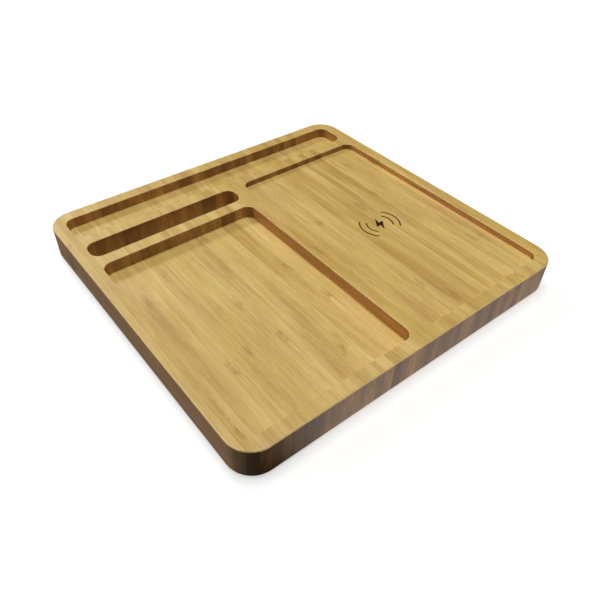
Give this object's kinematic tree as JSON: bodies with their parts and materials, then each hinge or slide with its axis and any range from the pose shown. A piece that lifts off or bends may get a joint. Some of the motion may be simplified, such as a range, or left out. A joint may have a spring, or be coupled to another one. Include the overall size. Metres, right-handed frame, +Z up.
{
  "type": "wireless charging tray",
  "caption": "Square bamboo desk tray with a wireless charging bed for a phone, a pen tray, an upright slot and a tray for small things; the charger sits in a covered pocket underneath.",
  "frame": {"origin": "on the table, under the middle of the slab's footprint, at the bottom of the feet", "axes": "+X across, towards the phone bed's side; +Y towards the back edge with the pen tray and the power inlet; +Z up"},
  "size_m": [0.23, 0.22, 0.0215],
  "materials": {
    "bamboo": "clear satin oil on sanded bamboo; grain runs front to back",
    "cover_plastic": "fine moulded texture",
    "black_screws": "black zinc",
    "foot_rubber": "matt silicone rubber",
    "tape": "double-sided adhesive film",
    "coil_wire": "enamelled copper",
    "lead_sleeve": "enamelled copper",
    "ferrite": "sintered ferrite, matt",
    "bead_resin": "resin bead on bare wires",
    "board_laminate": "green solder mask",
    "steel_screws": "plain zinc",
    "inlet_steel": "drawn steel",
    "inlet_plastic": "moulded",
    "gold_contacts": "gold flash",
    "bezel_plastic": "moulded",
    "clear_acrylic": "clear, frosted end",
    "led_body": "white package",
    "chip_resin": "moulded package",
    "capacitor_ceramic": "tan ceramic",
    "inductor_ferrite": "shielded ferrite",
    "resistor_body": "black glaze"
  },
  "bodies": {
    "root": {"tray_body": "bamboo", "bottom_cover": "cover_plastic", "cover_screws": "black_screws", "foot_front_left": "foot_rubber", "foot_front_right": "foot_rubber", "foot_back_left": "foot_rubber", "foot_back_right": "foot_rubber", "coil_tape": "tape", "transmitter_coil": "coil_wire", "coil_leads": "lead_sleeve", "ferrite_sheet": "ferrite", "thermistor": "bead_resin", "circuit_board": "board_laminate", "board_screws": "steel_screws", "usb_c_shell": "inlet_steel", "usb_c_tongue": "inlet_plastic", "usb_c_contacts": "gold_contacts", "port_bezel": "bezel_plastic", "light_guide": "clear_acrylic", "status_led": "led_body", "controller_chip": "chip_resin", "bridge_mosfets": "chip_resin", "resonant_capacitors": "capacitor_ceramic", "input_capacitors": "capacitor_ceramic", "power_inductor": "inductor_ferrite", "chip_resistors": "resistor_body"}
  },
  "joints": []
}
